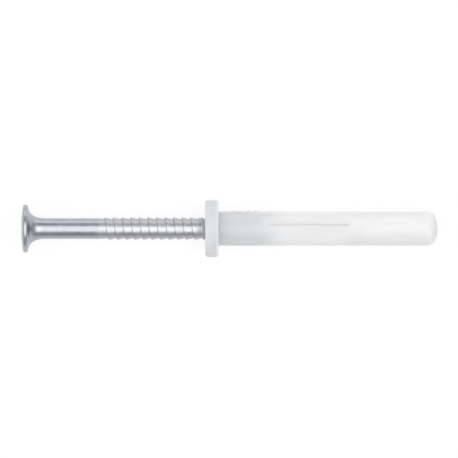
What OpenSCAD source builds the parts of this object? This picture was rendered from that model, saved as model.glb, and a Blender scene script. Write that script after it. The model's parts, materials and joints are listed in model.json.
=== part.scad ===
// Hammer fixing plug: a plastic sleeve with a collar, and the threaded drive nail that spreads it.
// The axis runs along X. The origin is the middle of the collar's underside, which meets the wall.
// The sleeve points to +X, into the wall, and the nail's head stands off to -X.

/* [Sleeve] */
// Outside diameter of the sleeve, for a hole a tenth of a millimetre wider
sleeve_d = 5.9; // [5:0.1:8]
// Length of the sleeve from the collar's underside to the nose
sleeve_len = 37.7; // [30:0.1:60]
// Rounding of the nose's edge
nose_r = 1.6; // [0.5:0.1:1.8]
// Radius of the nose's domed end
dome_r = 6.4; // [5:0.1:20]
// Diameter of the narrow part of the bore, which the nail forces open
tip_bore_d = 1.6; // [1.2:0.1:3]

/* [Collar] */
// Wall left outside the seat of the nail's head
collar_lip = 0.67; // [0.4:0.01:2]
// Thickness of the collar
collar_t = 2.3; // [1.5:0.1:4]
// Rounding of the collar's edges
collar_edge_r = 0.55; // [0.1:0.05:0.6]

/* [Slits] */
// Width of each slit
slit_w = 0.1; // [0.1:0.05:0.8]
// Length of the slits
slit_len = 14.1; // [8:0.1:20]
// Distance from the collar's underside to the slits
slit_start = 8.45; // [7:0.05:12]
// Turn of the slits about the axis, from straight up towards the grip teeth
slit_turn = 14; // [0:1:45]

/* [Grip teeth] */
// Number of teeth in the row under the collar
tooth_count = 4; // [2:1:6]
// Distance from one crest to the next
tooth_pitch = 1.33; // [1.2:0.01:2]
// Distance from the collar's underside to the first crest
tooth_start = 2.46; // [1:0.02:4]
// Height of a tooth above the sleeve
tooth_h = 0.2; // [0.1:0.02:0.25]
// Length of a tooth along the sleeve
tooth_len = 0.9; // [0.6:0.05:1.2]
// Radius of a tooth across the sleeve, smaller than the sleeve's own
tooth_r = 1.6; // [1:0.1:2]

/* [Nail] */
// Length of the nail from the top of its head to its tip
nail_len = 45; // [40:0.5:60]
// Diameter of the head
head_d = 8.3; // [7:0.1:10]
// Rise of the crown above the rounded rim
crown_h = 0.31; // [0.1:0.01:0.6]
// Radius of the rounded rim
rim_r = 0.46; // [0.3:0.02:0.6]
// Radius of the trumpet neck under the head
neck_r = 2; // [1.6:0.1:2.6]
// Radius of the neck's run into the shank
run_r = 4.4; // [3:0.1:6]
// Slope at which the neck turns into its run
run_angle = 21; // [10:1:35]
// Diameter of the plain shank
shank_d = 3.55; // [3:0.05:4]
// Length from the rim to the first turn of the thread
plain_len = 12.05; // [8:0.05:16]
// Length of the conical point
point_len = 4.1; // [2:0.1:6]
// Radius of the blunt tip
tip_r = 0.4; // [0.2:0.05:0.8]

/* [Thread] */
// Diameter over the crests
thread_d = 3.84; // [3.7:0.02:4.4]
// Height of the thread
thread_h = 0.26; // [0.16:0.01:0.4]
// Distance from one crest to the next
thread_pitch = 1.48; // [1.2:0.02:2]
// Length of the steep flank, which faces the head and resists pulling out
steep_w = 0.1; // [0.06:0.02:0.5]
// Width of the flat crest
crest_w = 0.12; // [0.06:0.01:0.2]
// Width of the flat root
root_w = 0.1; // [0.06:0.01:0.2]
// Angle about the axis where the thread starts
thread_turn = 7; // [0:1:359]

/* [Drive recess] */
// Span of the cross over its wings
cross_span = 4.4; // [3.5:0.1:5]
// Width of a wing
cross_w = 1; // [0.6:0.05:1.4]
// Depth of the cross
cross_depth = 2; // [1.2:0.1:2.4]
// Span of the cross at its floor
cross_floor = 1.7; // [1.2:0.1:2.4]

/* [Fits] */
// Distance from the collar's top to the head's rim, as supplied
stand_off = 30.95; // [20:0.05:32]
// Gap round the nail in the bore
bore_gap = 0.05; // [0.02:0.01:0.2]
// Gap round the head in its seat
seat_gap = 0.1; // [0.05:0.01:0.3]
// Distance along the axis from the start of the nail's point to where the bore narrows
point_gap = 0.5; // [0.2:0.1:2]

/* [Hidden] */
$fn = 72;

// Steps in a quarter of a rounded edge, and in one turn of the thread
arc_steps = 8;
turn_steps = 24;
// How far cuts run past the faces they open, and how far joined solids sink into each other
overrun = 0.5;
sink = 0.04;

sleeve_r = sleeve_d / 2;
shank_r = shank_d / 2;
crest_r = thread_d / 2;
root_r = crest_r - thread_h;
tip_bore_r = tip_bore_d / 2;
bore_r = max(crest_r, shank_r) + bore_gap;
collar_r = head_d / 2 + seat_gap + collar_lip;
// The nose's edge is rounded as far as its opening leaves room, and runs smoothly into the dome
nose_fillet = min(nose_r, sleeve_r - tip_bore_r);
dome_angle = acos((sleeve_r - nose_fillet) / (dome_r - nose_fillet));

// The rim is a bead that runs smoothly into the crown above it and the neck below it
bead_r = head_d / 2 - rim_r;
crown_r = (pow(bead_r, 2) + 2 * rim_r * crown_h + pow(crown_h, 2)) / (2 * crown_h);
crown_angle = asin(bead_r / (crown_r - rim_r));
// The neck itself is two arcs, a tight one under the head and a wide one that runs into the shank
neck_centre_r = shank_r + run_r * (1 - cos(run_angle)) + neck_r * cos(run_angle);
neck_offset = neck_centre_r - bead_r;
neck_drop = sqrt(pow(rim_r + neck_r, 2) - pow(neck_offset, 2));
neck_angle = atan2(neck_drop, neck_offset);
run_drop = neck_drop + (run_r - neck_r) * sin(run_angle);

// Places along the axis
rim_x = -collar_t - stand_off;
top_x = rim_x - rim_r - crown_h;
tip_x = top_x + nail_len;
point_x = tip_x - point_len;
thread_x = rim_x + plain_len;
taper_x = point_x + point_gap;
taper_len = (bore_r - tip_bore_r) * point_len / (root_r - tip_r);

// Thread profile over one pitch, from the foot of the steep flank: place along the axis and radius
thread_profile = [
    [0, root_r],
    [steep_w, crest_r],
    [steep_w + crest_w, crest_r],
    [thread_pitch - root_w, root_r]
];
profile_count = len(thread_profile);
// The thread rises out of the shank over its first turn, and falls into the point's lead over its last
thread_rows = floor((point_x - thread_x) / thread_pitch * turn_steps);
strip_rows = thread_rows - turn_steps;
lead_r = root_r + sink;
core_r = root_r - sink;

// Points on an arc about a centre, from one angle to another
function arc(centre, r, from, to) =
    let (steps = max(2, ceil(arc_steps * abs(to - from) / 90)))
    [for (i = [0 : steps]) let (a = from + (to - from) * i / steps) centre + r * [cos(a), sin(a)]];

// Underside of the head with its rim at x: bead, trumpet neck and its run, widened by a gap
function head_underside(x, gap, from) = concat(
    arc([bead_r, x], rim_r + gap, from, neck_angle),
    arc([neck_centre_r, x + neck_drop], neck_r - gap, neck_angle + 180, run_angle + 180),
    arc([shank_r + run_r, x + run_drop], run_r - gap, run_angle + 180, 180)
);

// How much of its full height the thread has at a row: it rises over its first turn and falls over its last
function thread_growth(row) = max(0, min(1, row / turn_steps, (strip_rows - row) / turn_steps));

// Radius from which the thread rises: the core's at the start, just under the point's at the end
function thread_base(row) = row < thread_rows / 2 ? core_r : root_r;

// Point of the thread on a row, which is a step about the axis, at a place in the profile
function thread_point(row, place) =
    let (
        angle = thread_turn + 360 * row / turn_steps,
        x = thread_x + thread_pitch * row / turn_steps + thread_profile[place][0],
        base = thread_base(row),
        r = base + thread_growth(row) * (thread_profile[place][1] - base)
    )
    [x, r * cos(angle), r * sin(angle)];

// Index of a thread point, where the place after the last is the first place one turn on
function thread_index(row, place) =
    place < profile_count ? row * profile_count + place : (row + turn_steps) * profile_count;

// Edge of the thread's skin at an end: along the profile at a row, then back round the turn
function thread_edge(row) = concat(
    [for (place = [0 : profile_count]) thread_index(row, place)],
    [for (step = [1 : turn_steps - 1]) thread_index(row + turn_steps - step, 0)]
);

// Turns a profile of [radius, place along the axis] about the X axis
module revolve_x(profile) {
    rotate([90, 0, 90])
        rotate_extrude()
            polygon(profile);
}

// Outside of the sleeve: collar with rounded edges, straight barrel, domed nose
module sleeve_outside() {
    edge_x = collar_t - collar_edge_r;
    edge_r = collar_r - collar_edge_r;
    dome = [0, sleeve_len - dome_r];
    nose = dome + (dome_r - nose_fillet) * [cos(dome_angle), sin(dome_angle)];
    revolve_x(concat(
        [[0, -collar_t]],
        arc([edge_r, -edge_x], collar_edge_r, -90, 0),
        arc([edge_r, -collar_edge_r], collar_edge_r, 0, 90),
        [[sleeve_r, 0]],
        arc(nose, nose_fillet, 0, dome_angle),
        arc(dome, dome_r, dome_angle, 90)
    ));
}

// Seat that takes the driven nail's head level with the collar's top
module head_seat() {
    seat_r = head_d / 2 + seat_gap;
    revolve_x(concat(
        [[0, -collar_t - overrun], [seat_r, -collar_t - overrun]],
        head_underside(-collar_t, seat_gap, 0),
        [[0, run_drop - collar_t]]
    ));
}

// Bore that holds the nail as supplied, then narrows past its point to the opening in the nose
module nail_bore() {
    revolve_x([
        [0, -collar_t],
        [bore_r, -collar_t],
        [bore_r, taper_x],
        [tip_bore_r, taper_x + taper_len],
        [tip_bore_r, sleeve_len + overrun],
        [0, sleeve_len + overrun]
    ]);
}

// One cut across the sleeve makes two opposed slits
module slits() {
    rotate([-slit_turn, 0, 0])
        translate([slit_start, -slit_w / 2, -sleeve_d])
            cube([slit_len, slit_w, 2 * sleeve_d]);
}

// Row of rounded teeth on one side of the sleeve, each a short barrel set off the axis
module grip_teeth() {
    barrel_r = (pow(tooth_len / 2, 2) + pow(tooth_h, 2)) / (2 * tooth_h);
    half_angle = asin(tooth_len / 2 / barrel_r);
    tooth = concat(
        [[0, -tooth_len / 2]],
        arc([tooth_r - barrel_r, 0], barrel_r, -half_angle, half_angle),
        [[0, tooth_len / 2]]
    );
    for (i = [0 : tooth_count - 1])
        translate([tooth_start + i * tooth_pitch, sleeve_r + tooth_h - tooth_r, 0])
            revolve_x(tooth);
}

module sleeve() {
    color("#eef0f0")
        difference() {
            union() {
                sleeve_outside();
                grip_teeth();
            }
            head_seat();
            nail_bore();
            slits();
        }
}

// Crowned head, trumpet neck and plain shank, which tapers off to the core as the thread rises
module head_and_shank() {
    shank_end = thread_x + thread_pitch / 2;
    core_x = shank_end + thread_pitch;
    revolve_x(concat(
        arc([0, top_x + crown_r], crown_r, -90, crown_angle - 90),
        head_underside(rim_x, 0, crown_angle - 90),
        [[shank_r, shank_end], [core_r, core_x], [0, core_x]]
    ));
}

// Cross recess in the head, with wings that narrow towards the floor
module cross_recess() {
    slope = (cross_span - cross_floor) / 2 / cross_depth;
    intersection() {
        revolve_x([
            [0, top_x - overrun],
            [cross_span / 2 + slope * overrun, top_x - overrun],
            [cross_floor / 2, top_x + cross_depth],
            [0, top_x + cross_depth]
        ]);
        for (turn = [0, 90])
            rotate([turn, 0, 0])
                translate([top_x - cross_depth, -cross_span, -cross_w / 2])
                    cube([3 * cross_depth, 2 * cross_span, cross_w]);
    }
}

// Right-hand buttress thread, one closed skin wound along the nail
module thread() {
    ends = [
        for (row = [0, strip_rows])
            [thread_x + thread_pitch * (row / turn_steps + 0.5), 0, 0]
    ];
    points = [
        for (row = [0 : thread_rows], place = [0 : profile_count - 1])
            thread_point(row, place)
    ];
    skin = [
        for (row = [0 : strip_rows - 1], place = [0 : profile_count - 1], half = [0, 1])
            half == 0
                ? [thread_index(row, place), thread_index(row, place + 1), thread_index(row + 1, place)]
                : [thread_index(row, place + 1), thread_index(row + 1, place + 1), thread_index(row + 1, place)]
    ];
    first = thread_edge(0);
    last = thread_edge(strip_rows);
    first_hub = len(points);
    last_hub = first_hub + 1;
    caps = [
        for (i = [0 : len(first) - 1]) let (j = (i + 1) % len(first)) each [
            [first_hub, first[j], first[i]],
            [last_hub, last[i], last[j]]
        ]
    ];
    polyhedron(concat(points, ends), concat(skin, caps));
}

// Lead that the thread runs out on, then the cone to the blunt tip
module point() {
    cone_angle = atan2(lead_r - tip_r, point_len - tip_r);
    lead_x = point_x - thread_pitch;
    core_x = lead_x - thread_pitch / 2;
    revolve_x(concat(
        [[0, core_x], [core_r, core_x], [lead_r, lead_x], [lead_r, point_x]],
        arc([0, tip_x - tip_r], tip_r, cone_angle, 90)
    ));
}

module nail() {
    color("#b9bec6")
        union() {
            difference() {
                head_and_shank();
                cross_recess();
            }
            thread();
            point();
        }
}

sleeve();
nail();
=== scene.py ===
# %% [markdown]
# # A hammer fixing plug
# The real thing is two pieces: a collared sleeve moulded in translucent white plastic, and a zinc-plated
# steel nail that is hammered into it and spreads it in the wall. This lesson models both with Blender's
# own edit-mode tools, gives them their finishes, and lights them as on a white studio table.
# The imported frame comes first, because every size that it can give is taken from it and not typed again.

# %% Load the frame
import json
import math

import bmesh
import bpy
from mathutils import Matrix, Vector


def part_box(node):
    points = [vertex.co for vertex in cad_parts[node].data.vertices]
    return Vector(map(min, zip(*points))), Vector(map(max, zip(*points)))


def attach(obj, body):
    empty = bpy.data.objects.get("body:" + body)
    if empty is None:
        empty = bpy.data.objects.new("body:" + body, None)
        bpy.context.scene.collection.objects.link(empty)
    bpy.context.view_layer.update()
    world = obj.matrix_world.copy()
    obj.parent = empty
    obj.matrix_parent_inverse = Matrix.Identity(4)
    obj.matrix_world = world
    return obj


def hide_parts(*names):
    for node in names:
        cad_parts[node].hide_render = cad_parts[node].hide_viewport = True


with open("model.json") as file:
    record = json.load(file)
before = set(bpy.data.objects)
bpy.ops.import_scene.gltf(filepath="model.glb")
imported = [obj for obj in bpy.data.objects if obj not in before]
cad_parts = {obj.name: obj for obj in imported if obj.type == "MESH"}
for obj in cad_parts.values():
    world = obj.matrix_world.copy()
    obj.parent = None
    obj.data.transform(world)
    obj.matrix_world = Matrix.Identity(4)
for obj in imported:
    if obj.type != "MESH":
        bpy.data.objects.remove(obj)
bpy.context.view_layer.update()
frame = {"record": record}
MM = 0.001

# %% Sizes that the frame gives
# The plug lies along X, its collar's underside at X = 0, the nail's head to -X and the nose to +X.
sleeve_low, sleeve_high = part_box("sleeve")
nail_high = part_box("nail")[1]
mounts = {mount["name"]: mount for mount in frame["record"]["mounts"]}

sleeve_r = mounts["sleeve_barrel"]["dims"]["r_mm"] * MM
collar_r = sleeve_high.z
collar_top = sleeve_low.x
nose_mouth = sleeve_high.x
head_r = nail_high.z
nail_tip = nail_high.x
# Driven home, the head's rim comes level with the collar's top
drive = frame["record"]["behaviour"]["joints"][0]["range_m"][1]
rim_x = collar_top - drive
print("sleeve radius", round(sleeve_r / MM, 2), "collar radius", round(collar_r / MM, 2),
      "head radius", round(head_r / MM, 2), "rim at", round(rim_x / MM, 2), "tip at", round(nail_tip / MM, 2))

# %% [markdown]
# ## Drawing an outline
# Both pieces are round about one axis, so each starts as half a section: an outline beside the axis.
# A curve object could hold it, but a single vertex does the job with three moves that are easy to repeat:
# extrude it for a straight stretch, spin it about a centre for an arc, and at the end spin the whole
# outline about the X axis. The outline lies in the XZ plane, so a point is its place along X and its radius.

# %% Pen strokes for an outline
ARC_STEP = math.radians(9)
WELD = 0.0005 * MM


def start_outline(name, x, r):
    """A plane merged into one vertex, moved to where the outline starts."""
    bpy.ops.object.select_all(action="DESELECT")
    bpy.ops.mesh.primitive_plane_add(size=MM)
    piece = bpy.context.object
    piece.name = piece.data.name = name
    bpy.ops.object.mode_set(mode="EDIT")
    bpy.ops.mesh.select_all(action="SELECT")
    bpy.ops.mesh.merge(type="CENTER")
    bpy.ops.transform.translate(value=(x, 0, r))
    return piece


def pen():
    """Where the selected last vertex of the outline is."""
    outline = bmesh.from_edit_mesh(bpy.context.object.data)
    return next(vertex.co.copy() for vertex in outline.verts if vertex.select)


def line_to(x, r, pieces=1):
    """Extrude the last vertex to a point, in one or more equal pieces."""
    step = (Vector((x, 0, r)) - pen()) / pieces
    for _ in range(pieces):
        bpy.ops.mesh.extrude_vertices_move(TRANSFORM_OT_translate={"value": step})


def arc_about(x, r, angle):
    """Spin the last vertex about a centre, anticlockwise for a positive angle with X to the right."""
    steps = max(2, math.ceil(abs(angle) / ARC_STEP))
    bpy.ops.mesh.spin(steps=steps, angle=angle, center=(x, 0, r), axis=(0, 1, 0))


def close_up():
    """Weld doubled vertices, turn all faces outwards and leave edit mode."""
    bpy.ops.mesh.select_all(action="SELECT")
    bpy.ops.mesh.remove_doubles(threshold=WELD)
    bpy.ops.mesh.normals_make_consistent(inside=False)
    bpy.ops.object.mode_set(mode="OBJECT")


def revolve(steps):
    """Spin the whole outline once about the X axis, and close it up at the seam and the poles."""
    bpy.ops.mesh.select_all(action="SELECT")
    bpy.ops.mesh.spin(steps=steps, angle=math.tau, center=(0, 0, 0), axis=(1, 0, 0))
    close_up()


# %% Joining and cutting solids
def activate(piece):
    """Make one object the only selected one, and the active one."""
    bpy.ops.object.select_all(action="DESELECT")
    piece.select_set(True)
    bpy.context.view_layer.objects.active = piece


def combine(piece, other, operation):
    """Boolean another solid into a piece, then delete that solid."""
    activate(piece)
    bpy.ops.object.modifier_add(type="BOOLEAN")
    boolean = piece.modifiers[-1]
    boolean.object = other
    boolean.operation = operation
    boolean.solver = "EXACT"
    bpy.ops.object.modifier_apply(modifier=boolean.name)
    bpy.data.objects.remove(other)


def open_edges(piece):
    """How many edges don't have exactly two faces: none on a closed solid."""
    mesh = bmesh.new()
    mesh.from_mesh(piece.data)
    count = sum(1 for edge in mesh.edges if not edge.is_manifold)
    mesh.free()
    return count


def finish_shape(piece, crease_deg):
    """Shade a piece smooth, apart from edges sharper than an angle, and say what was made."""
    activate(piece)
    bpy.ops.object.shade_smooth_by_angle(angle=math.radians(crease_deg))
    print(piece.name, len(piece.data.polygons), "faces,", open_edges(piece), "open edges")


# %% [markdown]
# ## The nail's head and shank
# The nail is cold-headed from drawn wire: a low crown, a rounded rim and a trumpet neck that sweeps into the
# shank, tightly under the head and then in a longer run. On the real one they run into each other without
# a crease, so the outline is four arcs whose centres are worked out from their radii, each touching the next.
# The shank ends in a short cone, which the thread's first turn rises out of.

# %% Head and shank
shank_r = 1.775 * MM
rim_r = 0.46 * MM
crown_h = 0.31 * MM
neck_r = 2.0 * MM
run_r = 4.4 * MM
run_angle = math.radians(21)
plain_len = 12.05 * MM
ROUND_STEPS = 144

bead_r = head_r - rim_r
head_top = rim_x - rim_r - crown_h
crown_r = (bead_r ** 2 + 2 * rim_r * crown_h + crown_h ** 2) / (2 * crown_h)
crown_angle = math.asin(bead_r / (crown_r - rim_r))
neck_centre_r = shank_r + run_r * (1 - math.cos(run_angle)) + neck_r * math.cos(run_angle)
neck_offset = neck_centre_r - bead_r
neck_drop = math.sqrt((rim_r + neck_r) ** 2 - neck_offset ** 2)
neck_angle = math.atan2(neck_drop, neck_offset)
run_drop = neck_drop + (run_r - neck_r) * math.sin(run_angle)

thread_pitch = 1.48 * MM
crest_r = 1.92 * MM
root_r = 1.66 * MM
core_r = 1.62 * MM
thread_x = rim_x + plain_len
shank_end = thread_x + thread_pitch / 2
core_x = shank_end + thread_pitch

nail = start_outline("drive_nail", head_top, 0)
arc_about(head_top + crown_r, 0, -crown_angle)
arc_about(rim_x, bead_r, crown_angle - neck_angle - math.pi / 2)
arc_about(rim_x + neck_drop, neck_centre_r, neck_angle - run_angle)
arc_about(rim_x + run_drop, shank_r + run_r, run_angle)
line_to(shank_end, shank_r, pieces=24)
line_to(core_x, core_r, pieces=3)
line_to(core_x, 0)
revolve(ROUND_STEPS)
print("head crown radius", round(crown_r / MM, 2), "mm, open edges", open_edges(nail))

# %% [markdown]
# ## The thread
# The thread is rolled: its steep flank faces the head, so the nail slides in and won't slide out. The Screw
# tool winds one pitch of the thread's outline about the axis, each turn meeting the one before. It winds
# back from where the outline is drawn, so the outline is drawn at the point's end.
# At both ends a rolled thread fades into the wire. A Cast modifier does that: it pulls the end turns to a
# cylinder just under the surface, as far as a vertex group says.

# %% Wind the thread
steep_w = 0.1 * MM
crest_w = 0.12 * MM
root_w = 0.1 * MM
thread_turn = math.radians(7)
THREAD_TURNS = 18
TURN_STEPS = 72

# The outline is drawn above the axis, a quarter turn on from where the angle about the axis is counted
foot_x = thread_x + thread_pitch * ((math.pi / 2 - thread_turn) / math.tau + THREAD_TURNS - 1)
thread = start_outline("thread", foot_x, root_r)
line_to(foot_x + steep_w, crest_r)
line_to(foot_x + steep_w + crest_w, crest_r, pieces=2)
line_to(foot_x + thread_pitch - root_w, root_r, pieces=6)
line_to(foot_x + thread_pitch, root_r)
bpy.ops.mesh.select_all(action="SELECT")
bpy.ops.mesh.screw(steps=TURN_STEPS, turns=THREAD_TURNS, center=(0, 0, 0), axis=(-1, 0, 0))
bpy.ops.mesh.select_all(action="SELECT")
bpy.ops.mesh.remove_doubles(threshold=WELD)
bpy.ops.object.mode_set(mode="OBJECT")
first_x = foot_x - THREAD_TURNS * thread_pitch
print("thread from", round(first_x / MM, 2), "to", round((foot_x + thread_pitch) / MM, 2), "mm")


# %% Fade and close its ends
def fade_thread(name, radius, faded_x, full_x):
    """Pull the thread to a cylinder, wholly at one place along X and not at all at another."""
    group = thread.vertex_groups.new(name=name)
    for vertex in thread.data.vertices:
        share = (vertex.co.x - full_x) / (faded_x - full_x)
        group.add([vertex.index], min(1, max(0, share)), "REPLACE")
    bpy.ops.object.empty_add(rotation=(0, math.pi / 2, 0))
    axis = bpy.context.object
    activate(thread)
    bpy.ops.object.modifier_add(type="CAST")
    cast = thread.modifiers[-1]
    cast.cast_type = "CYLINDER"
    cast.object = axis
    cast.use_transform = True
    cast.factor = 1
    cast.use_radius_as_size = False
    cast.size = radius
    cast.vertex_group = name
    bpy.ops.object.modifier_apply(modifier=cast.name)
    bpy.data.objects.remove(axis)


def close_end(low_x, high_x):
    """Close one open end of the thread with a fan: extrude its rim and merge that in the middle."""
    activate(thread)
    bpy.ops.object.mode_set(mode="EDIT")
    bpy.ops.mesh.select_mode(type="EDGE")
    bpy.ops.mesh.select_all(action="DESELECT")
    bpy.ops.mesh.select_non_manifold()
    rim = bmesh.from_edit_mesh(thread.data)
    for edge in rim.edges:
        if edge.select and not low_x <= sum(v.co.x for v in edge.verts) / 2 <= high_x:
            edge.select_set(False)
    bmesh.update_edit_mesh(thread.data)
    bpy.ops.mesh.extrude_edges_move(TRANSFORM_OT_translate={"value": (0, 0, 0)})
    bpy.ops.mesh.merge(type="CENTER")
    bpy.ops.mesh.select_mode(type="VERT")
    close_up()


sink = 0.04 * MM
lead_r = root_r + sink
fade_thread("run_in", core_r, first_x + thread_pitch, first_x + 2 * thread_pitch)
fade_thread("run_out", lead_r - sink, foot_x, foot_x - thread_pitch / 2)
close_end(first_x - thread_pitch, first_x + 2 * thread_pitch)
close_end(foot_x - thread_pitch, foot_x + 2 * thread_pitch)
print("thread", len(thread.data.polygons), "faces,", open_edges(thread), "open edges")

# %% [markdown]
# ## The point and the cross recess
# The point is one more revolved outline: a short lead that the thread runs out on, a cone and a blunt tip.
# The recess lets the driven nail be screwed out again. It is cut with two crossed wedges: each starts as a
# cube and has its inner end scaled down, because the tool that presses the recess tapers.

# %% Point
point_len = 4.1 * MM
tip_r = 0.4 * MM
point_x = nail_tip - point_len
lead_x = point_x - thread_pitch
point_start = lead_x - thread_pitch / 2
cone_angle = math.atan2(lead_r - tip_r, point_len - tip_r)

point = start_outline("point", point_start, 0)
line_to(point_start, core_r)
line_to(lead_x, lead_r)
line_to(point_x, lead_r)
line_to(nail_tip - tip_r + tip_r * math.sin(cone_angle), tip_r * math.cos(cone_angle), pieces=4)
arc_about(nail_tip - tip_r, 0, cone_angle - math.pi / 2)
revolve(ROUND_STEPS)

combine(nail, thread, "UNION")
combine(nail, point, "UNION")
print("nail joined:", len(nail.data.polygons), "faces,", open_edges(nail), "open edges")

# %% Cross recess
cross_span = 4.4 * MM
cross_floor = 1.7 * MM
cross_w = 1.0 * MM
cross_depth = 2.0 * MM
cross_round = 0.12 * MM
overrun = 0.5 * MM
# A wing narrows to this share of its width at the floor
floor_share = 0.82

wing_len = cross_depth + overrun
slope = (cross_span - cross_floor) / cross_depth
mouth_span = cross_span + slope * overrun
for turn in (0, math.pi / 2):
    bpy.ops.object.select_all(action="DESELECT")
    bpy.ops.mesh.primitive_cube_add(size=1)
    wing = bpy.context.object
    wing.name = "wing"
    bpy.ops.object.mode_set(mode="EDIT")
    bpy.ops.mesh.select_all(action="SELECT")
    bpy.ops.transform.resize(value=(wing_len, mouth_span, cross_w))
    bpy.ops.transform.translate(value=(head_top + cross_depth - wing_len / 2, 0, 0))
    bpy.ops.mesh.select_mode(type="FACE")
    bpy.ops.mesh.select_all(action="DESELECT")
    shape = bmesh.from_edit_mesh(wing.data)
    for face in shape.faces:
        face.select_set(face.normal.x > 0.9)
    bmesh.update_edit_mesh(wing.data)
    bpy.ops.transform.resize(value=(1, cross_floor / mouth_span, floor_share))
    bpy.ops.mesh.select_all(action="SELECT")
    bpy.ops.mesh.select_mode(type="EDGE")
    bpy.ops.mesh.bevel(offset=cross_round, segments=3, affect="EDGES")
    bpy.ops.mesh.select_mode(type="VERT")
    bpy.ops.object.mode_set(mode="OBJECT")
    wing.rotation_euler.x = turn
    activate(wing)
    bpy.ops.object.transform_apply(rotation=True)
    combine(nail, wing, "DIFFERENCE")

finish_shape(nail, crease_deg=35)

# %% [markdown]
# ## The sleeve
# The sleeve is one moulding: a collar with a trumpet seat that takes the nail's head, a straight barrel, a
# domed nose, and a bore that narrows past the nail's point, so that the driven nail forces the wall apart.
# Its section is a closed outline, so one spin makes the outside, the seat and the bore together, with the
# wall's true thickness. That matters here, because the plastic is translucent and the wall sets what shows.

# %% Sleeve outline
collar_edge = 0.55 * MM
bore_r = 1.97 * MM
tip_bore_r = 0.8 * MM
seat_gap = 0.1 * MM
nose_edge = 1.6 * MM
dome_r = 6.4 * MM
point_gap = 0.5 * MM

taper_x = point_x + point_gap
taper_len = (bore_r - tip_bore_r) * point_len / (root_r - tip_r)
dome_x = nose_mouth - math.sqrt(dome_r ** 2 - tip_bore_r ** 2)
dome_angle = math.acos((sleeve_r - nose_edge) / (dome_r - nose_edge))
nose_x = dome_x + (dome_r - nose_edge) * math.sin(dome_angle)
mouth_angle = math.asin(tip_bore_r / dome_r)
# The seat follows the head's underside at a gap, and stops where it meets the bore
seat_r = run_r - seat_gap
seat_stop = math.acos((shank_r + run_r - bore_r) / seat_r)
seat_x = collar_top + run_drop - seat_r * math.sin(seat_stop)

sleeve = start_outline("plug_sleeve", collar_top, bead_r + rim_r + seat_gap)
line_to(collar_top, collar_r - collar_edge)
arc_about(collar_top + collar_edge, collar_r - collar_edge, -math.pi / 2)
line_to(-collar_edge, collar_r, pieces=4)
arc_about(-collar_edge, collar_r - collar_edge, -math.pi / 2)
line_to(0, sleeve_r)
line_to(nose_x, sleeve_r, pieces=72)
arc_about(nose_x, sleeve_r - nose_edge, -dome_angle)
arc_about(dome_x, 0, mouth_angle + dome_angle - math.pi / 2)
line_to(taper_x + taper_len, tip_bore_r, pieces=48)
line_to(taper_x, bore_r, pieces=6)
line_to(seat_x, bore_r, pieces=16)
arc_about(collar_top + run_drop, shank_r + run_r, seat_stop - run_angle)
arc_about(collar_top + neck_drop, neck_centre_r, run_angle - neck_angle)
arc_about(collar_top, bead_r, neck_angle)
revolve(ROUND_STEPS)
print("sleeve turned:", len(sleeve.data.polygons), "faces,", open_edges(sleeve), "open edges")

# %% [markdown]
# ## Grip teeth and slits
# Four low teeth under the collar keep the plug from turning in its hole. Each is a short barrel set off the
# axis, so that only its crest stands out of the sleeve. It is bisected in the middle of the wall, because a
# whole barrel would reach into the bore. One tooth is modelled, and the others are copies.
# The two slits that let the sleeve spread lie opposite each other, so one box with rounded ends, longer than
# the sleeve is wide, cuts both right through the wall. The box is thinner than a hair, because the slits show
# as no more than a faint line.

# %% Grip teeth
tooth_start = 2.46 * MM
tooth_pitch = 1.33 * MM
tooth_len = 0.9 * MM
tooth_h = 0.2 * MM
tooth_r = 1.6 * MM
TOOTH_COUNT = 4

barrel_r = ((tooth_len / 2) ** 2 + tooth_h ** 2) / (2 * tooth_h)
half_angle = math.asin(tooth_len / 2 / barrel_r)
tooth = start_outline("tooth", tooth_start - tooth_len / 2, 0)
line_to(tooth_start - tooth_len / 2, tooth_r - tooth_h)
arc_about(tooth_start, tooth_r - barrel_r, -2 * half_angle)
line_to(tooth_start + tooth_len / 2, 0)
revolve(ROUND_STEPS // 2)
tooth.location.y = sleeve_r + tooth_h - tooth_r
activate(tooth)
bpy.ops.object.transform_apply(location=True)
wall_mid = (bore_r + sleeve_r) / 2
bpy.ops.object.mode_set(mode="EDIT")
bpy.ops.mesh.select_all(action="SELECT")
bpy.ops.mesh.bisect(plane_co=(0, wall_mid, 0), plane_no=(0, 1, 0), use_fill=True, clear_inner=True)
close_up()
teeth = [tooth]
for number in range(1, TOOTH_COUNT):
    activate(tooth)
    bpy.ops.object.duplicate()
    copy = bpy.context.object
    copy.location.x = number * tooth_pitch
    bpy.ops.object.transform_apply(location=True)
    teeth.append(copy)
for each in teeth:
    combine(sleeve, each, "UNION")
print("teeth at", [round((tooth_start + n * tooth_pitch) / MM, 2) for n in range(TOOTH_COUNT)], "mm")

# %% Slits
slit_w = 0.012 * MM
slit_len = 14.1 * MM
slit_start = 8.45 * MM
slit_turn = math.radians(14)
slit_round = 0.004 * MM

slit_mid = slit_start + slit_len / 2
bpy.ops.object.select_all(action="DESELECT")
bpy.ops.mesh.primitive_cube_add(size=1)
cutter = bpy.context.object
bpy.ops.object.mode_set(mode="EDIT")
bpy.ops.mesh.select_all(action="SELECT")
bpy.ops.transform.resize(value=(slit_len, slit_w, 4 * sleeve_r))
bpy.ops.transform.translate(value=(slit_mid, 0, 0))
bpy.ops.mesh.select_mode(type="EDGE")
bpy.ops.mesh.select_all(action="DESELECT")
shape = bmesh.from_edit_mesh(cutter.data)
for edge in shape.edges:
    along = edge.verts[1].co - edge.verts[0].co
    edge.select_set(abs(along.z) > sleeve_r)
bmesh.update_edit_mesh(cutter.data)
bpy.ops.mesh.bevel(offset=slit_round, segments=4, affect="EDGES")
bpy.ops.mesh.select_mode(type="VERT")
bpy.ops.object.mode_set(mode="OBJECT")
cutter.rotation_euler.x = -slit_turn
activate(cutter)
bpy.ops.object.transform_apply(rotation=True)
combine(sleeve, cutter, "DIFFERENCE")
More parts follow.
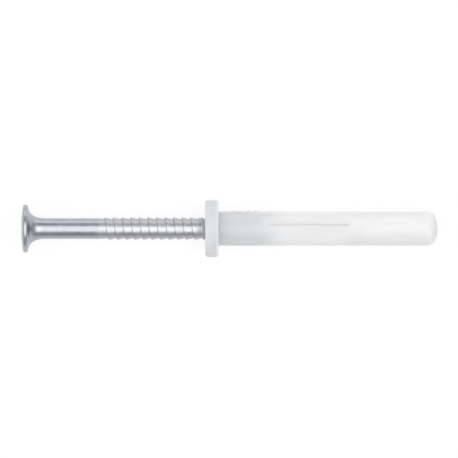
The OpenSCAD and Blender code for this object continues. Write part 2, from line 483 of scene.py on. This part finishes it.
finish_shape(sleeve, crease_deg=32)

# %% [markdown]
# ## Bodies
# Each new piece stands for one CAD node, which it hides, and moves with that node's body.

# %% Ride on the bodies
for piece, node, slot in (
    (sleeve, "sleeve", "translucent_plastic"),
    (nail, "nail", "zinc_plated_steel"),
):
    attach(piece, node)
    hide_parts(node)
    print(piece.name, "rides on", node)

# %% [markdown]
# ## Finishes
# Colours are written as hex values, as a paint program shows them, and Blender works in linear light, so one
# function converts them. A second one adds a shader node with its options, fixed values and links.

# %% Colour and node helpers
# A Mix node has sockets for each kind of data under the same names, so those for colours go by number
MIX_SHARE = 0
MIX_A = 6
MIX_B = 7
MIX_RESULT = 2


def linear(hex_colour):
    """Linear RGBA of an sRGB hex colour."""
    parts = [int(hex_colour[i:i + 2], 16) / 255 for i in (1, 3, 5)]
    light = [c / 12.92 if c <= 0.04045 else ((c + 0.055) / 1.055) ** 2.4 for c in parts]
    return (*light, 1)


def add_node(tree, kind, options=None, values=None, links=None):
    """Add a node, set its options and the values of its inputs, and link inputs to other nodes' outputs."""
    made = tree.nodes.new(kind)
    for name, value in (options or {}).items():
        setattr(made, name, value)
    for socket, value in (values or {}).items():
        made.inputs[socket].default_value = value
    for socket, source in (links or {}).items():
        tree.links.new(source, made.inputs[socket])
    return made


def start_material(name):
    """A new material with an empty node tree."""
    material = bpy.data.materials.new(name)
    material.use_nodes = True
    material.node_tree.nodes.clear()
    return material, material.node_tree


# %% [markdown]
# ## Zinc-plated steel
# The nail has bright zinc over drawn wire: a cool grey mirror, blurred a little by the plating's fine grain.
# A glossy grey would look like paint, so the shader is wholly metallic, and noise makes its colour and
# roughness uneven. The rolled thread is duller than the drawn shank, and its colour is painted whiter and
# warmer: a painted highlight for the brighter light that its flanks reflect. Both change along X, where the
# thread starts.

# %% Drawing lines and clouds
zinc, tree = start_material("bright_zinc_plated_steel")
place = add_node(tree, "ShaderNodeTexCoord").outputs["Object"]
# The drawing die leaves fine lines along the wire, some millimetres long
line_gap = 0.12 * MM
line_depth = 0.004 * MM
lines_at = add_node(tree, "ShaderNodeMapping", values={"Scale": (0.03, 1, 1)}, links={"Vector": place})
lines = add_node(
    tree, "ShaderNodeTexNoise",
    values={"Scale": 1 / line_gap, "Detail": 3, "Roughness": 0.6},
    links={"Vector": lines_at.outputs["Vector"]},
)
zinc_bump = add_node(
    tree, "ShaderNodeBump",
    values={"Strength": 0.2, "Distance": line_depth},
    links={"Height": lines.outputs["Fac"]},
)
# The plating clouds over patches of about a millimetre
cloud_size = 1.2 * MM
clouds = add_node(
    tree, "ShaderNodeTexNoise",
    values={"Scale": 1 / cloud_size, "Detail": 4, "Roughness": 0.55},
    links={"Vector": place},
)
zinc_colour = add_node(tree, "ShaderNodeValToRGB", links={"Fac": clouds.outputs["Fac"]})
zinc_colour.color_ramp.elements[0].position = 0.3
zinc_colour.color_ramp.elements[0].color = linear("#a9adb4")
zinc_colour.color_ramp.elements[1].position = 0.7
zinc_colour.color_ramp.elements[1].color = linear("#b6b9be")
zinc_roughness = add_node(
    tree, "ShaderNodeMapRange",
    values={"From Min": 0.3, "From Max": 0.7, "To Min": 0.27, "To Max": 0.37},
    links={"Value": clouds.outputs["Fac"]},
)
print("drawing lines", round(line_gap / MM, 2), "mm apart, clouds of", round(cloud_size / MM, 2), "mm")

# %% Rolled thread with its painted highlight, and the metal
rolled_and_painted_from = thread_x + 0.3 * MM
rolled_and_painted_fully = thread_x + 0.6 * MM
ROLLED_DULLER = 0.08

zinc_along = add_node(tree, "ShaderNodeSeparateXYZ", links={"Vector": place})
rolled_and_painted_light = add_node(
    tree, "ShaderNodeMapRange",
    values={"From Min": rolled_and_painted_from, "From Max": rolled_and_painted_fully},
    links={"Value": zinc_along.outputs["X"]},
)
# Painted highlight: over the thread the zinc's colour is made whiter and warmer, for the light its flanks
# reflect
zinc_with_painted_thread_highlight = add_node(
    tree, "ShaderNodeMix", options={"data_type": "RGBA", "blend_type": "ADD"},
    values={MIX_B: linear("#484134")},
    links={MIX_SHARE: rolled_and_painted_light.outputs["Result"], MIX_A: zinc_colour.outputs["Color"]},
)
nail_roughness = add_node(
    tree, "ShaderNodeMath", options={"operation": "MULTIPLY_ADD"},
    values={1: ROLLED_DULLER},
    links={0: rolled_and_painted_light.outputs["Result"], 2: zinc_roughness.outputs["Result"]},
)
zinc_shader = add_node(
    tree, "ShaderNodeBsdfPrincipled",
    values={"Metallic": 1},
    links={
        "Base Color": zinc_with_painted_thread_highlight.outputs[MIX_RESULT],
        "Roughness": nail_roughness.outputs["Value"],
        "Normal": zinc_bump.outputs["Normal"],
    },
)
add_node(tree, "ShaderNodeOutputMaterial", links={"Surface": zinc_shader.outputs["BSDF"]})
nail.data.materials.clear()
nail.data.materials.append(zinc)
print("finish", zinc.name)

# %% [markdown]
# ## Milky polypropylene
# The sleeve is unpigmented moulded plastic. It is milky, because light that goes in is scattered before it
# comes out again, and the nail inside shows as a soft shade. White paint would hide that shade, and glass
# would show the nail sharply, so the shader lets light walk through the wall as it was modelled.
# A walk of some millimetres would end in the slits' gaps and leave a wide dark band instead of a faint line,
# so beside them it is kept short, and the milk is painted paler along them: painted light that makes up
# for the light the short walk loses there.

# %% Milk
plastic, tree = start_material("milky_moulded_polypropylene")
place = add_node(tree, "ShaderNodeTexCoord").outputs["Object"]
# Flow of the melt leaves the milkiness slightly uneven, in clouds of a few millimetres
flow_size = 2.5 * MM
flow_at = add_node(tree, "ShaderNodeMapping", values={"Scale": (0.4, 1, 1)}, links={"Vector": place})
flow = add_node(
    tree, "ShaderNodeTexNoise",
    values={"Scale": 1 / flow_size, "Detail": 3, "Roughness": 0.5},
    links={"Vector": flow_at.outputs["Vector"]},
)
milk = add_node(tree, "ShaderNodeValToRGB", links={"Fac": flow.outputs["Fac"]})
milk.color_ramp.elements[0].position = 0.3
milk.color_ramp.elements[0].color = linear("#e0dfdf")
milk.color_ramp.elements[1].position = 0.7
milk.color_ramp.elements[1].color = linear("#e6e5e5")
print("melt clouds of", round(flow_size / MM, 2), "mm")

# %% Walk of the light
WALK = 5.5 * MM
SLIT_WALK = 0.3 * MM
beside = 1.2 * MM

plastic_along = add_node(tree, "ShaderNodeSeparateXYZ", links={"Vector": place})
from_mid = add_node(
    tree, "ShaderNodeMath", options={"operation": "SUBTRACT"},
    values={1: slit_mid},
    links={0: plastic_along.outputs["X"]},
)
off_mid = add_node(
    tree, "ShaderNodeMath", options={"operation": "ABSOLUTE"},
    links={0: from_mid.outputs["Value"]},
)
slit_stretch = add_node(
    tree, "ShaderNodeMapRange",
    values={"From Min": slit_len / 2, "From Max": slit_len / 2 + beside, "To Min": 1, "To Max": 0},
    links={"Value": off_mid.outputs["Value"]},
)
across = add_node(
    tree, "ShaderNodeVectorMath", options={"operation": "DOT_PRODUCT"},
    values={1: (0, math.cos(slit_turn), -math.sin(slit_turn))},
    links={0: place},
)
off_side = add_node(
    tree, "ShaderNodeMath", options={"operation": "ABSOLUTE"},
    links={0: across.outputs["Value"]},
)
slit_sides = add_node(
    tree, "ShaderNodeMapRange",
    values={"From Min": 0, "From Max": beside, "To Min": 1, "To Max": 0},
    links={"Value": off_side.outputs["Value"]},
)
near_slit = add_node(
    tree, "ShaderNodeMath", options={"operation": "MINIMUM"},
    links={0: slit_stretch.outputs["Result"], 1: slit_sides.outputs["Result"]},
)
walk = add_node(
    tree, "ShaderNodeMapRange",
    values={"To Min": WALK, "To Max": SLIT_WALK},
    links={"Value": near_slit.outputs["Value"]},
)
print("light walks", round(WALK / MM, 2), "mm, beside the slits", round(SLIT_WALK / MM, 2), "mm")

# %% Painted light along the slits and painted shade on the collar
painted_light_full = slit_len / 2 - 3.5 * MM
painted_light_end = slit_len / 2 + 2 * MM
painted_collar_shade_end = -0.5 * MM
sleeve_milk_from = 0.1 * MM

# Painted light: along the slits the milk is made paler, to make up for light that the short walk loses there
painted_light_stretch = add_node(
    tree, "ShaderNodeMapRange", options={"interpolation_type": "SMOOTHSTEP"},
    values={"From Min": painted_light_full, "From Max": painted_light_end, "To Min": 1, "To Max": 0},
    links={"Value": off_mid.outputs["Value"]},
)
slit_painted_light = add_node(
    tree, "ShaderNodeMix", options={"data_type": "RGBA", "blend_type": "ADD"},
    values={MIX_B: linear("#564f44")},
    links={MIX_SHARE: painted_light_stretch.outputs["Result"], MIX_A: milk.outputs["Color"]},
)
# The collar is the thickest section. It is painted greyer than the sleeve: painted shade, for the nail and
# the hollow seat that darken it from inside.
past_painted_collar_shade = add_node(
    tree, "ShaderNodeMapRange",
    values={"From Min": painted_collar_shade_end, "From Max": sleeve_milk_from},
    links={"Value": plastic_along.outputs["X"]},
)
body_colour = add_node(
    tree, "ShaderNodeMix", options={"data_type": "RGBA"},
    values={MIX_A: linear("#c4c8cb")},
    links={MIX_SHARE: past_painted_collar_shade.outputs["Result"], MIX_B: slit_painted_light.outputs[MIX_RESULT]},
)
print("paler up to", round(painted_light_end / MM, 2), "mm from the middle of the slits")

# %% Grain and the plastic
# The mould's sparked steel leaves a fine matt grain, drawn coarser than it is so that it shows
grain_size = 0.1 * MM
grain_depth = 0.004 * MM
grain = add_node(
    tree, "ShaderNodeTexNoise",
    values={"Scale": 1 / grain_size, "Detail": 2, "Roughness": 0.5},
    links={"Vector": place},
)
grain_bump = add_node(
    tree, "ShaderNodeBump",
    values={"Strength": 0.15, "Distance": grain_depth},
    links={"Height": grain.outputs["Fac"]},
)
plastic_shader = add_node(
    tree, "ShaderNodeBsdfPrincipled",
    options={"subsurface_method": "RANDOM_WALK"},
    values={
        "Roughness": 0.38,
        "IOR": 1.49,
        "Subsurface Weight": 1,
        "Subsurface Radius": (1.0, 0.9, 0.8),
    },
    links={
        "Base Color": body_colour.outputs[MIX_RESULT],
        "Subsurface Scale": walk.outputs["Result"],
        "Normal": grain_bump.outputs["Normal"],
    },
)
add_node(tree, "ShaderNodeOutputMaterial", links={"Surface": plastic_shader.outputs["BSDF"]})
sleeve.data.materials.clear()
sleeve.data.materials.append(plastic)
print("finish", plastic.name)

# %% [markdown]
# ## Table, light and camera
# The plug lies on its collar on a white table. To the camera and in reflections the table has a white glow,
# of which the soft shadow takes away only a little. To light that bounces it is plain white board,
# so it lights the plug from below as a real table does.
# A wide softbox hangs overhead. It is longer along the plug than across, which gives the shank its bright
# band. A low softbox on the far side makes the pale line above it, and the grey room the dark lines between.
# Where a lamp ends is given as an angle, as the plug sees it, because that is what its reflections follow.

# %% Table
SHADOW_SHARE = 0.12

bpy.ops.object.select_all(action="DESELECT")
bpy.ops.mesh.primitive_plane_add(size=12, location=(0, 0, -collar_r))
table = bpy.context.object
table.name = "table"
white, tree = start_material("white_table")
rays = add_node(tree, "ShaderNodeLightPath")
direct = add_node(
    tree, "ShaderNodeMath", options={"operation": "MAXIMUM"},
    links={0: rays.outputs["Is Camera Ray"], 1: rays.outputs["Is Glossy Ray"]},
)
seen = add_node(
    tree, "ShaderNodeMath", options={"operation": "MAXIMUM"},
    links={0: direct.outputs["Value"], 1: rays.outputs["Is Transmission Ray"]},
)
board = add_node(tree, "ShaderNodeBsdfDiffuse", values={"Color": linear("#f8f8f8")})
shade = add_node(
    tree, "ShaderNodeBsdfDiffuse",
    values={"Color": (SHADOW_SHARE, SHADOW_SHARE, SHADOW_SHARE, 1)},
)
glow = add_node(tree, "ShaderNodeEmission", values={"Strength": 1 - SHADOW_SHARE})
backdrop = add_node(
    tree, "ShaderNodeAddShader",
    links={0: glow.outputs["Emission"], 1: shade.outputs["BSDF"]},
)
surface = add_node(
    tree, "ShaderNodeMixShader",
    links={"Fac": seen.outputs["Value"], 1: board.outputs["BSDF"], 2: backdrop.outputs["Shader"]},
)
add_node(tree, "ShaderNodeOutputMaterial", links={"Surface": surface.outputs["Shader"]})
table.data.materials.append(white)
print("table at", round(-collar_r / MM, 2), "mm")


# %% Softboxes
def reach(distance, degrees):
    """How far off to the side a ray is at a distance, when it leaves at an angle."""
    return distance * math.tan(math.radians(degrees))


def add_softbox(name, place, aim, size_x, size_y, level):
    """A rectangular softbox at a place, facing a point, as bright to the eye as a level of white."""
    bpy.ops.object.select_all(action="DESELECT")
    bpy.ops.object.light_add(type="AREA", location=place)
    lamp = bpy.context.object
    lamp.name = name
    lamp.rotation_euler = (Vector(place) - Vector(aim)).to_track_quat("Z", "Y").to_euler()
    lamp.data.shape = "RECTANGLE"
    lamp.data.size = size_x
    lamp.data.size_y = size_y
    lamp.data.energy = level * math.pi * size_x * size_y
    print(name, round(lamp.data.energy, 3), "W")


LAMP_H = 0.4
OVERHEAD_LEVEL = 1.45
lamp_low = -reach(LAMP_H, 34)
lamp_high = reach(LAMP_H, 26.5)
lamp_left = -reach(LAMP_H, 62)
lamp_right = reach(LAMP_H, 34.5)
lamp_x = (lamp_left + lamp_right) / 2
lamp_y = (lamp_low + lamp_high) / 2
lamp_len = lamp_right - lamp_left
lamp_w = lamp_high - lamp_low
add_softbox(
    "overhead_softbox", (lamp_x, lamp_y, LAMP_H), (lamp_x, lamp_y, 0),
    lamp_len, lamp_w, OVERHEAD_LEVEL,
)

# A smaller box hangs just under it, where the thread's slopes face, and makes them brighter than the shank
THREAD_LEVEL = 1.25
spot_drop = 10 * MM
spot_h = LAMP_H - spot_drop
spot_left = reach(spot_h, 17)
spot_right = reach(spot_h, 34)
spot_x = (spot_left + spot_right) / 2
spot_len = spot_right - spot_left
add_softbox(
    "thread_softbox", (spot_x, lamp_y, spot_h), (spot_x, lamp_y, 0),
    spot_len, lamp_w, THREAD_LEVEL,
)

SIDE_FAR = 0.5
SIDE_LEVEL = 1.05
side_h = reach(SIDE_FAR, 12)
add_softbox("side_softbox", (0, SIDE_FAR, side_h), (0, 0, 0), lamp_len, 2 * side_h, SIDE_LEVEL)

# %% Grey room
ROOM_LEVEL = 0.45
world = bpy.data.worlds.new("grey_studio")
world.use_nodes = True
world.node_tree.nodes.clear()
room = add_node(
    world.node_tree, "ShaderNodeBackground",
    values={"Color": linear("#ffffff"), "Strength": ROOM_LEVEL},
)
add_node(world.node_tree, "ShaderNodeOutputWorld", links={"Surface": room.outputs["Background"]})
bpy.context.scene.world = world
print("room level", ROOM_LEVEL)

# %% Camera
# It looks straight down from far off, so that near and far sides come out at nearly one scale
VIEW_WIDTH = 78.9 * MM
VIEW_CENTRE = (1.81 * MM, -0.07 * MM)
CAMERA_H = 2.5

bpy.ops.object.camera_add(location=(*VIEW_CENTRE, CAMERA_H))
camera = bpy.context.object
camera.data.sensor_width = 36
camera.data.lens = camera.data.sensor_width * CAMERA_H / VIEW_WIDTH
camera.data.clip_start = 0.05
camera.data.clip_end = 50
bpy.context.scene.camera = camera
bpy.context.scene.view_settings.view_transform = "Standard"
print("lens", round(camera.data.lens, 1), "mm")
